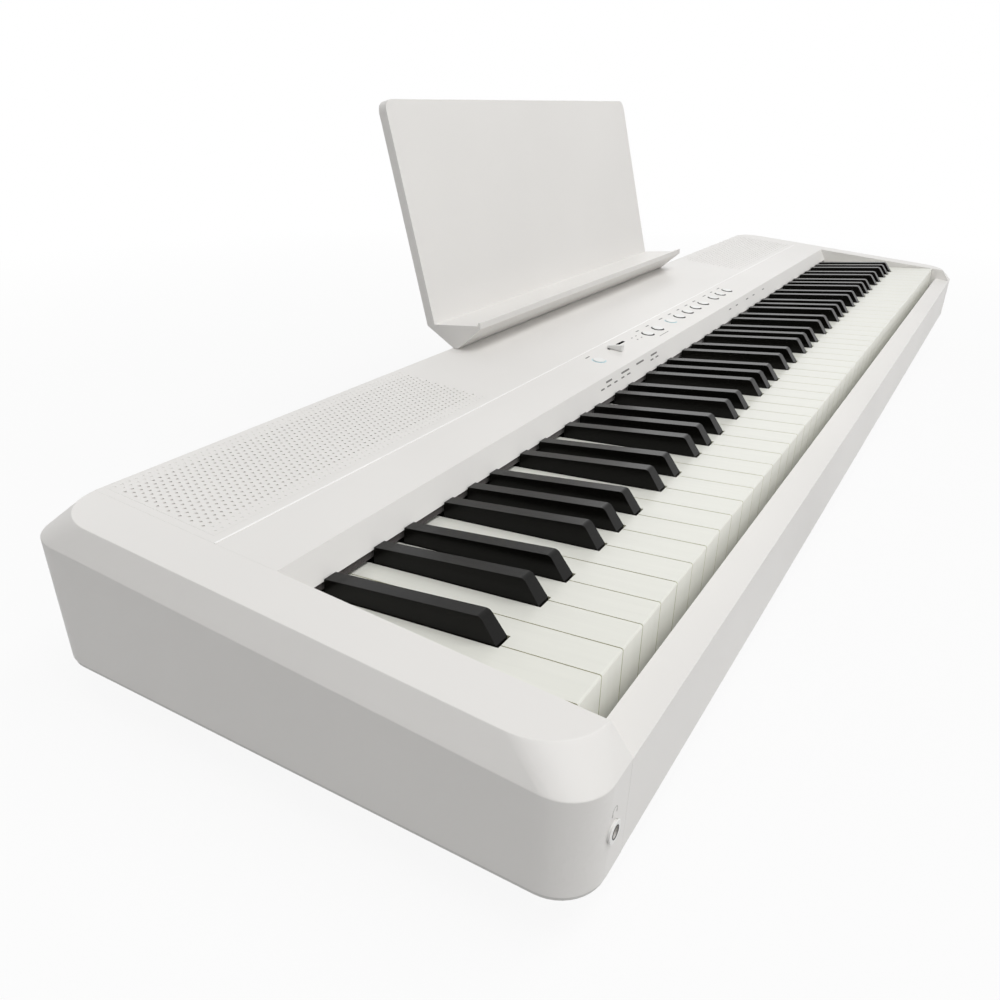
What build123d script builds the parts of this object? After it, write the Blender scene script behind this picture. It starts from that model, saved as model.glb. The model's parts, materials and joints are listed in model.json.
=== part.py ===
from build123d import *
import os
from math import cos, radians, sin, tan

# A slab digital piano: 88 weighted keys in a white case, with a lift-off music rest.
# Frame: millimetres, X to the treble end, Y to the back, Z up, origin on the table under the middle of the case.

# Case form
case_width = 1303.0
case_depth = 340.4
foot_height = 10.0
pan_depth = 24.0
cheek_rise = 68.4
deck_tilt = 4.0
chamfer_drop = 13.7
side_chamfer = 9.3
front_chamfer = 12.2
top_corner = 33.0
lower_corner = 23.0
wall_draft = 1.7
wall = 3.0
panel_gap = 0.05
groove = 0.8

# Keyboard
key_pitch = 23.5
white_count = 52
octaves = 8
key_gap = 0.6
nose_gap = 1.4
bay_gap = 0.5
key_setback = 27.2
key_tilt = 4.0
key_over_cheek = 0.2
head_length = 51.2
head_depth = 21.0
front_depth = 33.0
front_plate = 1.8
tail_depth = 16.0
stick_depth = 14.0
stick_width = 9.5
stick_start = 30.0
key_edge = 1.2
black_width = 10.3
black_top_width = 8.9
black_height = 13.3
black_slope = 9.4
black_nose = 4.0
black_end = 14.1
black_back_height = 9.7
key_dip = 2.6

# Key action
pivot_y = 80.0
pivot_depth = 8.0
stick_overhang = 12.0
shaft_radius = 2.5
running_gap = 0.05
leg_y = -78.0
leg_thickness = 3.5
leg_gap = 0.8
lever_gain = 1.04
hammer_y = -45.0
hammer_z = 46.0
hammer_width = 3.5
hammer_boss = 7.0
lever_top = 53.0
lever_front = -86.0
hook_back = -76.0
hook_bottom = 29.5
arm_depth = 12.0
weight_front = 40.0
weight_back = 78.0
weight_height = 18.0
seat_gap = 0.3
bracket_width = 2.5
bracket_margin = 3.0

# Keybed sheet, felts and boards
sheet = 1.6
bed_front = -139.4
bed_back = 101.0
bed_half = 608.0
bed_back_height = 64.0
stop_shelf = 20.0
felt_thickness = 3.0
rest_felt_thickness = 4.0
stop_rail_front = 58.0
stop_rail_back = 73.0
stop_rail_seat = 4.5
board = 1.6
spacer = 2.0
spacer_radius = 3.0
spacer_sides = 8
sensor_margin = 8.0
contact_base = 0.9
contact_height = 2.0
contact_size = 6.0
main_half = 160.0
main_gap = 6.0
main_depth = 30.0

# Decks and controls, measured along Y from the back edge of the key slot
slot_length = 158.3
fascia_depth = 8.3
fascia_drop = 15.1
strip_depth = 43.1
panel_thickness = 3.0
button_radius = 5.7
button_clearance = 1.1
button_proud = 1.0
button_edge = 0.5
button_height = 8.7
button_flange = 1.3
button_flange_height = 1.2
button_line = 47.1
power_x = -182.0
pair_x = -66.0
row_x = -2.0
trio_x = 139.8
button_pitch = 26.3
slider_line = 54.7
slider_slot = 36.0
slider_slot_width = 3.0
slider_slot_x = -127.0
slider_x = -141.0
knob_width = 4.5
knob_front = 42.0
knob_back = 57.0
knob_height = 6.2
knob_back_height = 3.0
control_board_drop = 11.0
control_board_front = 7.0
control_board_back = 2.0
control_boss_x = (-200.0, -100.0, 10.0, 120.0, 212.0)
pair_count = 2
row_count = 5
trio_count = 3
shoe_width = 8.0
switch_size = 6.0
switch_height = 1.8
cross_rail_height = 8.0
cross_rail_width = 7

# Grilles and speakers
grille_inner = 330.0
grille_outer = 606.0
grille_front = 73.0
grille_back = 159.6
grille_hole = 2.2
grille_columns = 20
grille_rows = 5
grille_hole_sides = 4
speaker_length = 150.0
speaker_width = 62.0
speaker_depth = 34.0
magnet_radius = 22.0
magnet_height = 10.0
magnet_sides = 16
basket_taper = 18.0

# Front rail, sockets, pan, feet
rail_inner = 7.4
rail_fall = 2.0
rail_lip = 26.0
rail_lift = 0.8
jack_x = -626.0
jack_height = 25.5
jack_bore = 3.2
jack_ring = 7.0
jack_ring_proud = 0.6
jack_barrel = 5.0
jack_depth = 28.0
socket_bay_x = 150.0
socket_bay_width = 210.0
socket_bay_height = 24.0
socket_bay_rise = 30.0
round_sockets = (-80.0, -48.0, -24.0, 0.0, 24.0)
square_sockets = (52.0, 78.0)
socket_radius = 6.0
socket_bore = 3.2
pan_wall = 2.5
pan_inset = 6.0
pan_slope = 16.0
pan_corner = 20.0
flange_inset = 1.0
foot_radius = 16.0
foot_x = 560.0
foot_y = 115.0
insert_x = 616.0
insert_y = 90.0
insert_radius = 2.5
insert_boss = 7.0
insert_depth = 12.0

# Music rest
rest_width = 495.2
rest_lean = 15.0
rest_height = 188.5
rest_thickness = 8.0
rest_skin = 3.0
rest_corner = 10.0
rest_root_y = 180.2
rest_root_rise = 18.4
ledge_depth = 48.5
ledge_tilt = 6.0
ledge_lip = 3.0
ledge_lip_width = 2.5
foot_back_inset = 0.6
foot_land = 4.6
rest_tongue_x = 150.0
rest_tongue_width = 40.0
rest_tongue = 2.6
rest_tongue_depth = 20.0
rest_slot_y = 157.6
rest_slot_gap = 0.3
socket_wall = 1.2
rest_ribs = 4

# Values worked out from the sizes above
shell_bottom = foot_height + pan_depth
slope = tan(radians(deck_tilt))
key_front = -case_depth / 2 + key_setback
cheek_front_z = shell_bottom + cheek_rise
key_top_front = cheek_front_z + key_over_cheek
keyboard_width = white_count * key_pitch
bay_half = keyboard_width / 2 + bay_gap
panel_half = bay_half - panel_gap
fascia_front = key_front + slot_length
strip_front = fascia_front + fascia_depth
strip_back = strip_front + strip_depth
top_back = case_depth / 2 - side_chamfer
top_front = -case_depth / 2 + front_chamfer
shoulder = key_front + head_length


def deck_z(y):
    """Height of the top surface of the case at depth y."""
    return cheek_front_z + slope * (y - key_front)


def key_z(y):
    """Height of the white key tops at depth y."""
    return key_top_front - tan(radians(key_tilt)) * (y - key_front)


def along(y):
    """Distance along the sloping deck that lies over depth y."""
    return y / cos(radians(deck_tilt))


def span(low, high):
    """Rectangle between two corners, in the sketch that is open."""
    with Locations(((low[0] + high[0]) / 2, (low[1] + high[1]) / 2)):
        Rectangle(high[0] - low[0], high[1] - low[1])


def deck_span(x_low, x_high, y_low, y_high):
    """Rectangle on the deck, given by its sides in plan."""
    span((x_low, along(y_low)), (x_high, along(y_high)))


def hand_in(piece, name):
    """Label a finished piece and write it."""
    piece.label = name
    export_step(piece, f"parts/{name}.step")


os.makedirs("parts", exist_ok=True)

deck = Plane(
    origin=(0, 0, deck_z(0)),
    x_dir=(1, 0, 0),
    z_dir=(0, -sin(radians(deck_tilt)), cos(radians(deck_tilt))),
)
pivot_z = key_z(pivot_y) - pivot_depth


def case_form(inset):
    """The case as one closed form, drawn in by inset at its sides and top."""
    width = case_width - 2 * inset
    depth = case_depth - 2 * inset
    crease = deck.offset(-chamfer_drop - inset)
    top_middle = along((top_front + top_back) / 2)
    top_length = along(top_back - top_front - 2 * inset)
    with BuildPart() as form:
        with BuildSketch(Plane.XY.offset(shell_bottom)):
            RectangleRounded(width - 2 * wall_draft, depth - 2 * wall_draft, lower_corner - inset)
        with BuildSketch(crease):
            RectangleRounded(width, along(depth), lower_corner - inset)
        loft(ruled=True)
        with BuildSketch(crease):
            RectangleRounded(width, along(depth), lower_corner - inset)
        with BuildSketch(deck.offset(-inset)):
            with Locations((0, top_middle)):
                RectangleRounded(width - 2 * side_chamfer, top_length, top_corner - inset)
        loft(ruled=True)
    return form.part


outer_form = case_form(0)
inner_form = case_form(wall)
tall = 2 * (cheek_front_z + case_depth)

# End blocks: hollow cheeks that close the case at both ends, open underneath
block_width = case_width / 2 - bay_half
jack_z = shell_bottom + jack_height
with BuildPart() as left_end_block:
    add(outer_form)
    with Locations((-bay_half - block_width, 0, 0)):
        Box(2 * block_width, 2 * case_depth, tall, mode=Mode.INTERSECT)
    with BuildPart(mode=Mode.PRIVATE) as hollow:
        add(inner_form)
        with Locations((-bay_half - wall - block_width, 0, 0)):
            Box(2 * block_width, 2 * case_depth, tall, mode=Mode.INTERSECT)
    add(hollow.part, mode=Mode.SUBTRACT)
right_end_block = mirror(left_end_block.part, about=Plane.YZ)
with BuildPart() as left_block_bored:
    add(left_end_block.part)
    with BuildSketch(Plane.XZ.offset(case_depth / 2)):
        with Locations((jack_x, jack_z)):
            Circle(jack_barrel)
    extrude(amount=-jack_depth, mode=Mode.SUBTRACT)
hand_in(left_block_bored.part, "left_end_block")
hand_in(right_end_block, "right_end_block")

# Front rail below the key fronts
crease_y = -case_depth / 2
crease_z = deck_z(crease_y) - chamfer_drop
rail_y = key_front - rail_inner
rail_z = crease_z + rail_fall
rail_bottom = shell_bottom + rail_lift
with BuildPart() as front_rail:
    with BuildSketch(Plane.YZ):
        with BuildLine():
            Polyline(
                (crease_y + wall_draft, rail_bottom),
                (crease_y, crease_z),
                (rail_y, rail_z),
                (rail_y, rail_z - rail_lip),
                (rail_y - wall, rail_z - rail_lip),
                (rail_y - wall, rail_z - wall),
                (crease_y + wall, crease_z - wall),
                (crease_y + wall_draft + wall, rail_bottom),
                close=True,
            )
        make_face()
    extrude(amount=panel_half, both=True)
hand_in(front_rail.part, "front_rail")

# Places of the two pockets for the tongues of the music rest
slot_half = rest_tongue / 2 + rest_slot_gap
pocket_half = slot_half + socket_wall
tongue_places = [(-rest_tongue_x, along(rest_slot_y)), (rest_tongue_x, along(rest_slot_y))]
pocket_width = rest_tongue_width + 2 * rest_slot_gap + 2 * socket_wall

# Back wall with its chamfer, the recess for the sockets, and notches that clear the pockets
socket_bay_z = shell_bottom + socket_bay_rise
with BuildPart() as rear_panel:
    add(outer_form)
    add(inner_form, mode=Mode.SUBTRACT)
    with Locations((0, case_depth / 2, 0)):
        Box(2 * panel_half, 2 * (case_depth / 2 - top_back + wall + wall), tall, mode=Mode.INTERSECT)
    with BuildSketch(deck):
        deck_span(-panel_half, panel_half, 0, top_back)
    extrude(amount=-panel_thickness - panel_gap, mode=Mode.SUBTRACT)
    with BuildSketch(deck):
        with Locations(*tongue_places):
            Rectangle(pocket_width + 2 * panel_gap, 2 * pocket_half + 2 * panel_gap)
    extrude(amount=-rest_tongue_depth - panel_thickness - panel_gap, mode=Mode.SUBTRACT)
    with BuildSketch(Plane.XZ.offset(-case_depth / 2)):
        with Locations((socket_bay_x, socket_bay_z)):
            Rectangle(socket_bay_width, socket_bay_height)
    extrude(amount=2 * wall, both=True, mode=Mode.SUBTRACT)
hand_in(rear_panel.part, "rear_panel")

# Rear sockets on one moulded plate: power inlet, two pedals, two line outputs and two data ports
socket_face = case_depth / 2 - wall_draft - wall
with BuildPart() as rear_sockets:
    with BuildSketch(Plane.XZ.offset(-socket_face)):
        with Locations((socket_bay_x, socket_bay_z)):
            Rectangle(socket_bay_width - 2 * panel_gap, socket_bay_height - 2 * panel_gap)
    extrude(amount=wall)
    with BuildSketch(Plane.XZ.offset(-socket_face)):
        with Locations(*[(socket_bay_x + x, socket_bay_z) for x in round_sockets]):
            Circle(socket_radius)
    extrude(amount=wall, both=True)
    with BuildSketch(Plane.XZ.offset(-socket_face + wall)):
        with Locations(*[(socket_bay_x + x, socket_bay_z) for x in round_sockets]):
            Circle(socket_bore)
        with Locations(*[(socket_bay_x + x, socket_bay_z) for x in square_sockets]):
            Rectangle(2 * socket_radius, socket_radius)
    extrude(amount=-2 * wall, mode=Mode.SUBTRACT)
hand_in(rear_sockets.part, "rear_sockets")

# Top panel, with openings for the grilles and two pockets for the tongues of the music rest
with BuildPart() as top_panel:
    with BuildSketch(deck):
        deck_span(-panel_half, panel_half, strip_back + groove, top_back)
    extrude(amount=-panel_thickness)
    with BuildSketch(deck.offset(-panel_thickness)):
        with Locations(*tongue_places):
            Rectangle(pocket_width, 2 * pocket_half)
    extrude(amount=-rest_tongue_depth)
    with BuildSketch(deck):
        with Locations(*tongue_places):
            Rectangle(rest_tongue_width + 2 * rest_slot_gap, 2 * slot_half)
        deck_span(-grille_outer, -grille_inner, grille_front, grille_back)
        deck_span(grille_inner, grille_outer, grille_front, grille_back)
    extrude(amount=-rest_tongue_depth - panel_thickness + socket_wall, mode=Mode.SUBTRACT)
hand_in(top_panel.part, "top_panel")

# Speaker grilles, set flush in the top panel
grille_middle = (grille_inner + grille_outer) / 2
grille_depth_middle = along((grille_front + grille_back) / 2)
grille_places = [(-grille_middle, grille_depth_middle), (grille_middle, grille_depth_middle)]
grille_width = grille_outer - grille_inner - 2 * panel_gap
grille_length = along(grille_back - grille_front) - 2 * panel_gap
with BuildPart() as speaker_grilles:
    with BuildSketch(deck):
        with Locations(*grille_places):
            Rectangle(grille_width, grille_length)
    extrude(amount=-panel_thickness)
    with BuildSketch(deck):
        with Locations(*grille_places):
            with GridLocations(grille_width / grille_columns, grille_length / grille_rows, grille_columns, grille_rows):
                RegularPolygon(grille_hole, grille_hole_sides)
    extrude(amount=-panel_thickness, mode=Mode.SUBTRACT)
hand_in(speaker_grilles.part, "speaker_grilles")

# Speakers hung under the grilles: oval frame, tapering basket and magnet
with BuildPart() as speakers:
    for place in grille_places:
        with BuildSketch(deck.offset(-panel_thickness)):
            with Locations(place):
                SlotOverall(speaker_length, speaker_width)
        extrude(amount=-sheet)
        with BuildSketch(deck.offset(-panel_thickness - sheet)):
            with Locations(place):
                SlotOverall(speaker_length - speaker_width / 4, 3 * speaker_width / 4)
        extrude(amount=-speaker_depth + magnet_height + sheet, taper=basket_taper)
        with BuildSketch(deck.offset(-panel_thickness - speaker_depth)):
            with Locations(place):
                RegularPolygon(magnet_radius, magnet_sides)
        extrude(amount=magnet_height)
hand_in(speakers.part, "speakers")

# Control strip between two seams, bored for the buttons and slotted for the volume slider
pair_places = [pair_x + i * button_pitch for i in range(pair_count)]
row_places = [row_x + i * button_pitch for i in range(row_count)]
trio_places = [trio_x + i * button_pitch for i in range(trio_count)]
button_places = [power_x] + pair_places + row_places + trio_places
button_names = ["power_button", "reverb_button", "ambience_button", "piano_button", "e_piano_button"]
button_names += ["organ_button", "strings_button", "other_tone_button"]
button_names += ["record_button", "play_button", "metronome_button"]
with BuildPart() as control_strip:
    with BuildSketch(deck):
        deck_span(-panel_half, panel_half, strip_front + panel_gap, strip_back)
        with Locations(*[(x, along(button_line)) for x in button_places]):
            Circle(button_radius + button_clearance, mode=Mode.SUBTRACT)
        with Locations((slider_slot_x, along(slider_line))):
            Rectangle(slider_slot, slider_slot_width, mode=Mode.SUBTRACT)
    extrude(amount=-panel_thickness)
    with BuildSketch(deck.offset(-panel_thickness)):
        with Locations(*[(x, along(button_line - button_pitch / 2)) for x in control_boss_x]):
            RegularPolygon(spacer_radius, spacer_sides)
    extrude(amount=-control_board_drop + panel_thickness)
hand_in(control_strip.part, "control_strip")

# Board behind the controls, with a switch under each button
board_front = strip_front + control_board_front
board_back = strip_back - control_board_back
with BuildPart() as panel_board:
    with BuildSketch(deck.offset(-control_board_drop)):
        deck_span(power_x - button_pitch, trio_places[-1] + button_pitch, board_front, board_back)
    extrude(amount=-board)
    with BuildSketch(deck.offset(-control_board_drop)):
        with Locations(*[(x, along(button_line)) for x in button_places]):
            Rectangle(switch_size, switch_size)
    extrude(amount=switch_height)
hand_in(panel_board.part, "panel_board")

# Fascia: sloping face from the control strip down to the back of the key slot
fascia_top = deck_z(strip_front)
fascia_low = fascia_top - fascia_drop
fascia_step = wall * fascia_drop / fascia_depth
with BuildPart() as key_fascia:
    with BuildSketch(Plane.YZ):
        with BuildLine():
            Polyline(
                (strip_front, fascia_top),
                (fascia_front, fascia_low),
                (fascia_front + wall, fascia_low),
                (strip_front, fascia_top - fascia_step),
                close=True,
            )
        make_face()
    extrude(amount=panel_half, both=True)
hand_in(key_fascia.part, "key_fascia")

# Cross rail behind the fascia and under the strip, carried by the end blocks
rail_front = strip_front + panel_gap
with BuildPart() as panel_rail:
    with BuildSketch(deck.offset(-panel_thickness)):
        deck_span(-bay_half, bay_half, rail_front, rail_front + cross_rail_width)
    extrude(amount=-cross_rail_height)
    with BuildSketch(deck.offset(-panel_thickness - cross_rail_height)):
        deck_span(-bay_half, bay_half, rail_front + sheet, rail_front + cross_rail_width - sheet)
    extrude(amount=cross_rail_height - sheet, mode=Mode.SUBTRACT)
hand_in(panel_rail.part, "panel_rail")

# Buttons: short pistons with a retaining flange under the strip
for name, x in zip(button_names, button_places):
    with BuildPart() as button:
        with BuildSketch(deck.offset(button_proud)):
            with Locations((x, along(button_line))):
                Circle(button_radius)
        extrude(amount=-button_height)
        chamfer(button.faces().sort_by(Axis.Z)[-1].edges(), button_edge)
        with BuildSketch(deck.offset(-panel_thickness - seat_gap)):
            with Locations((x, along(button_line))):
                Circle(button_radius + button_clearance + button_flange)
        extrude(amount=-button_flange_height)
    hand_in(button.part, name)

# Volume slider: a thumb fin that rises to the front, with a stem through the slot and a shoe under the strip
fin_plane = Plane(
    origin=(slider_x - knob_width / 2, 0, deck_z(0)),
    x_dir=(0, cos(radians(deck_tilt)), sin(radians(deck_tilt))),
    z_dir=(1, 0, 0),
)
with BuildPart() as volume_slider:
    with BuildSketch(fin_plane):
        with BuildLine():
            Polyline(
                (along(knob_front), seat_gap),
                (along(knob_back), seat_gap),
                (along(knob_back), knob_back_height),
                (along(knob_front), knob_height),
                close=True,
            )
        make_face()
    extrude(amount=knob_width)
    with BuildSketch(deck.offset(seat_gap)):
        with Locations((slider_x, along(slider_line))):
            Rectangle(knob_width / 2, slider_slot_width - 2 * seat_gap)
    extrude(amount=-panel_thickness - 2 * seat_gap)
    with BuildSketch(deck.offset(-panel_thickness - seat_gap)):
        with Locations((slider_x, along(slider_line))):
            Rectangle(shoe_width, shoe_width)
    extrude(amount=-sheet)
hand_in(volume_slider.part, "volume_slider")

# Phones socket in the front of the left end block
wall_height = crease_z - shell_bottom
jack_face = case_depth / 2 - wall_draft * (1 - (jack_height + jack_ring) / wall_height)
with BuildPart() as phones_jack:
    with BuildSketch(Plane.XZ.offset(jack_face)):
        with Locations((jack_x, jack_z)):
            Circle(jack_ring)
            Circle(jack_bore, mode=Mode.SUBTRACT)
    extrude(amount=jack_ring_proud)
    with BuildSketch(Plane.XZ.offset(jack_face)):
        with Locations((jack_x, jack_z)):
            Circle(jack_barrel - running_gap)
            Circle(jack_bore, mode=Mode.SUBTRACT)
    extrude(amount=-jack_depth)
hand_in(phones_jack.part, "phones_jack")

# Bottom pan: tapered tray with a flange that the case walls stand on
pan_floor = foot_height + pan_wall
with BuildPart() as bottom_pan:
    flange_z = shell_bottom - pan_wall
    pan_width = case_width - 2 * (wall_draft + wall + pan_inset)
    pan_length = case_depth - 2 * (wall_draft + wall + pan_inset)
    with BuildSketch(Plane.XY.offset(foot_height)):
        RectangleRounded(pan_width - 2 * pan_slope, pan_length - 2 * pan_slope, pan_corner)
    with BuildSketch(Plane.XY.offset(flange_z)):
        RectangleRounded(pan_width, pan_length, pan_corner)
    loft(ruled=True)
    with BuildSketch(Plane.XY.offset(flange_z)):
        RectangleRounded(
            case_width - 2 * (wall_draft + flange_inset),
            case_depth - 2 * (wall_draft + flange_inset),
            lower_corner - flange_inset,
        )
    extrude(amount=pan_wall)
    with BuildSketch(Plane.XY.offset(pan_floor)):
        RectangleRounded(pan_width - 2 * pan_slope, pan_length - 2 * pan_slope, pan_corner - pan_wall)
    with BuildSketch(Plane.XY.offset(shell_bottom)):
        RectangleRounded(pan_width - 2 * pan_wall, pan_length - 2 * pan_wall, pan_corner - pan_wall)
    loft(ruled=True, mode=Mode.SUBTRACT)
    with BuildSketch(Plane.XY.offset(foot_height)):
        with GridLocations(2 * insert_x, 2 * insert_y, 2, 2):
            Circle(insert_boss)
    extrude(amount=insert_depth + pan_wall)
    with BuildSketch(Plane.XY.offset(foot_height)):
        with GridLocations(2 * insert_x, 2 * insert_y, 2, 2):
            Circle(insert_radius)
    extrude(amount=insert_depth, mode=Mode.SUBTRACT)
hand_in(bottom_pan.part, "bottom_pan")

# Rubber feet: one near each corner, and one under the middle that keeps the long pan from sagging
with BuildPart() as rubber_feet:
    with BuildSketch(Plane.XY):
        Circle(foot_radius)
        with GridLocations(2 * foot_x, 2 * foot_y, 2, 2):
            Circle(foot_radius)
    extrude(amount=foot_height)
    chamfer(rubber_feet.faces().group_by(Axis.Z)[0].edges(), sheet)
hand_in(rubber_feet.part, "rubber_feet")

# Keybed: folded sheet tray standing on the pan
bed_z = pan_floor
bed_top = bed_z + sheet
stop_z = key_z(key_front + stop_shelf) - head_depth
dip = tan(radians(key_dip))
felt_top = stop_z - dip * (pivot_y - key_front - stop_shelf) - 2 * seat_gap
shelf_z = felt_top - felt_thickness
with BuildPart() as keybed:
    with BuildSketch(Plane.YZ):
        span((bed_front, bed_z), (bed_back, bed_top))
        span((bed_front, bed_z), (bed_front + sheet, shelf_z))
        span((bed_front, shelf_z - sheet), (bed_front + stop_shelf, shelf_z))
        span((bed_back - sheet, bed_z), (bed_back, bed_z + bed_back_height))
    extrude(amount=bed_half, both=True)
hand_in(keybed.part, "keybed")

# Rails and felts of the action
weight_bottom = bed_top + rest_felt_thickness + seat_gap
hammer_turn = radians(key_dip) * (pivot_y - leg_y) / (hammer_y - leg_y) * lever_gain
weight_rise = (weight_back - hammer_y) * sin(hammer_turn)
weight_top_drop = (weight_bottom + weight_height - hammer_z) * cos(hammer_turn)
stop_felt_bottom = hammer_z + weight_rise + weight_top_drop + 2 * seat_gap
stop_rail_z = stop_felt_bottom + felt_thickness
with BuildPart() as hammer_stop_rail:
    with BuildSketch(Plane.YZ):
        span((stop_rail_front, stop_rail_z), (stop_rail_back, stop_rail_z + sheet))
    extrude(amount=bed_half, both=True)
hand_in(hammer_stop_rail.part, "hammer_stop_rail")

with BuildPart() as action_felts:
    with BuildSketch(Plane.YZ):
        span((bed_front + sheet, shelf_z), (bed_front + stop_shelf, felt_top))
        span((weight_front, bed_top), (weight_back, bed_top + rest_felt_thickness))
        span((stop_rail_front, stop_felt_bottom), (stop_rail_back - stop_rail_seat - panel_gap, stop_rail_z))
    extrude(amount=bed_half, both=True)
hand_in(action_felts.part, "action_felts")

with BuildPart() as action_shafts:
    with BuildSketch(Plane.YZ):
        with Locations((pivot_y, pivot_z), (hammer_y, hammer_z)):
            Circle(shaft_radius)
    extrude(amount=bed_half, both=True)
hand_in(action_shafts.part, "action_shafts")

# Note layout: two groups of notes in an octave, whose tails share the width of 3 or 4 white keys
groups = {"low": (3, 5), "high": (4, 7)}
notes = [("c", "low", 0), ("c_sharp", "low", 1), ("d", "low", 2), ("d_sharp", "low", 3), ("e", "low", 4)]
notes += [("f", "high", 0), ("f_sharp", "high", 1), ("g", "high", 2), ("g_sharp", "high", 3)]
notes += [("a", "high", 4), ("a_sharp", "high", 5), ("b", "high", 6)]
octave = 7 * key_pitch
first_c = -keyboard_width / 2 + 2 * key_pitch
first_f = first_c + 3 * key_pitch - octave


def group_starts(group, slot):
    """Left edges of the groups in which a note of this slot has a key."""
    if group == "low":
        return [first_c + i * octave for i in range(octaves if slot == 0 else octaves - 1)]
    return [first_f + i * octave for i in range(0 if slot >= 4 else 1, octaves)]


def tail_pitch(group):
    """Width of one note's tail in its group."""
    whites, tails = groups[group]
    return whites * key_pitch / tails


def black_middle(group, slot):
    """Middle of a black key, from its group's left edge."""
    return (slot + 0.5) * tail_pitch(group)


def tail_sides(group, slot):
    """Left and right side of a white key's tail between its black neighbours, from its group's left edge."""
    reach = black_width / 2 + key_gap
    last = groups[group][1] - 1
    low = slot / 2 * key_pitch + key_gap / 2
    high = (slot / 2 + 1) * key_pitch - key_gap / 2
    left = low if slot == 0 else black_middle(group, slot - 1) + reach
    right = high if slot == last else black_middle(group, slot + 1) - reach
    return low, left, right, high


def stick_middle(group, slot):
    """Middle of a key's stick, and of its hammer, from its group's left edge."""
    if slot % 2:
        return black_middle(group, slot)
    sides = tail_sides(group, slot)
    return (sides[1] + sides[2]) / 2


hammer_places = {note: [s + stick_middle(g, k) for s in group_starts(g, k)] for note, g, k in notes}
stick_back = pivot_y + stick_overhang
leg_bottom = lever_top + leg_gap
leg_front = leg_y - leg_thickness / 2
leg_back = leg_y + leg_thickness / 2
plate_back = key_front + front_plate

# Side view of a white key: head with a front plate, leg that drives the hammer, and stick bored for the key shaft
with BuildSketch() as white_side:
    with BuildLine():
        Polyline(
            (key_front, key_z(key_front) - front_depth),
            (key_front, key_z(key_front)),
            (stick_back, key_z(stick_back)),
            (stick_back, key_z(stick_back) - stick_depth),
            (stick_start, key_z(stick_start) - stick_depth),
            (stick_start, key_z(stick_start) - tail_depth),
            (leg_back, key_z(leg_back) - tail_depth),
            (leg_back, leg_bottom),
            (leg_front, leg_bottom),
            (leg_front, key_z(leg_front) - head_depth),
            (plate_back, key_z(plate_back) - head_depth),
            (plate_back, key_z(key_front) - front_depth),
            close=True,
        )
    make_face()
    fillet(white_side.vertices().group_by(Axis.X)[0].sort_by(Axis.Y)[-1], key_edge)
    with Locations((pivot_y, pivot_z)):
        Circle(shaft_radius + running_gap, mode=Mode.SUBTRACT)

# Side view of a black key: sloping nose, top that falls to the back, leg and bored stick
black_front = shoulder + nose_gap
black_rise = black_height / cos(radians(key_tilt))
with BuildSketch() as black_side:
    with BuildLine():
        Polyline(
            (black_front, key_z(black_front) - head_depth),
            (black_front, key_z(black_front)),
            (black_front + black_slope, key_z(black_front + black_slope) + black_rise),
            (black_end, key_z(black_end) + black_back_height),
            (black_end, key_z(black_end) - key_gap),
            (stick_back, key_z(stick_back) - key_gap),
            (stick_back, key_z(stick_back) - stick_depth),
            (stick_start, key_z(stick_start) - stick_depth),
            (stick_start, key_z(stick_start) - tail_depth),
            (leg_back, key_z(leg_back) - tail_depth),
            (leg_back, leg_bottom),
            (leg_front, leg_bottom),
            (leg_front, key_z(leg_front) - head_depth),
            close=True,
        )
    make_face()
    fillet(black_side.vertices().sort_by(Axis.Y)[-2:].sort_by(Axis.X)[0], black_nose)
    with Locations((pivot_y, pivot_z)):
        Circle(shaft_radius + running_gap, mode=Mode.SUBTRACT)

# Plane square to the black key tops, at the back of the sticks, for their tapering section
black_plane = Plane(
    origin=(0, stick_back + black_height, key_z(stick_back + black_height)),
    x_dir=(1, 0, 0),
    z_dir=(0, -cos(radians(key_tilt)), sin(radians(key_tilt))),
)
black_length = stick_back + black_height - shoulder + head_depth

# The keys, one set for each note of the octave
for note, group, slot in notes:
    with BuildPart() as keys:
        if slot % 2:
            with BuildSketch(black_plane):
                for start in group_starts(group, slot):
                    with BuildLine():
                        middle = start + black_middle(group, slot)
                        Polyline(
                            (middle - black_width / 2, -key_z(shoulder)),
                            (middle + black_width / 2, -key_z(shoulder)),
                            (middle + black_width / 2, 0),
                            (middle + black_top_width / 2, black_height),
                            (middle - black_top_width / 2, black_height),
                            (middle - black_width / 2, 0),
                            close=True,
                        )
                    make_face()
            extrude(amount=black_length)
            with BuildSketch(Plane.YZ):
                add(black_side.sketch)
            extrude(amount=bay_half, both=True, mode=Mode.INTERSECT)
        else:
            with BuildSketch(Plane.XY):
                for start in group_starts(group, slot):
                    low, left, right, high = tail_sides(group, slot)
                    left = low if start == first_f and slot == 4 else left
                    right = high if start == first_c + (octaves - 1) * octave else right
                    middle = stick_middle(group, slot)
                    span((start + low, key_front), (start + high, shoulder))
                    span((start + left, shoulder - key_gap), (start + right, stick_start))
                    span(
                        (start + middle - stick_width / 2, stick_start - key_gap),
                        (start + middle + stick_width / 2, stick_back),
                    )
            extrude(amount=key_top_front + head_depth)
            with BuildSketch(Plane.YZ):
                add(white_side.sketch)
            extrude(amount=bay_half, both=True, mode=Mode.INTERSECT)
    hand_in(keys.part, f"{note}_keys")

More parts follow.
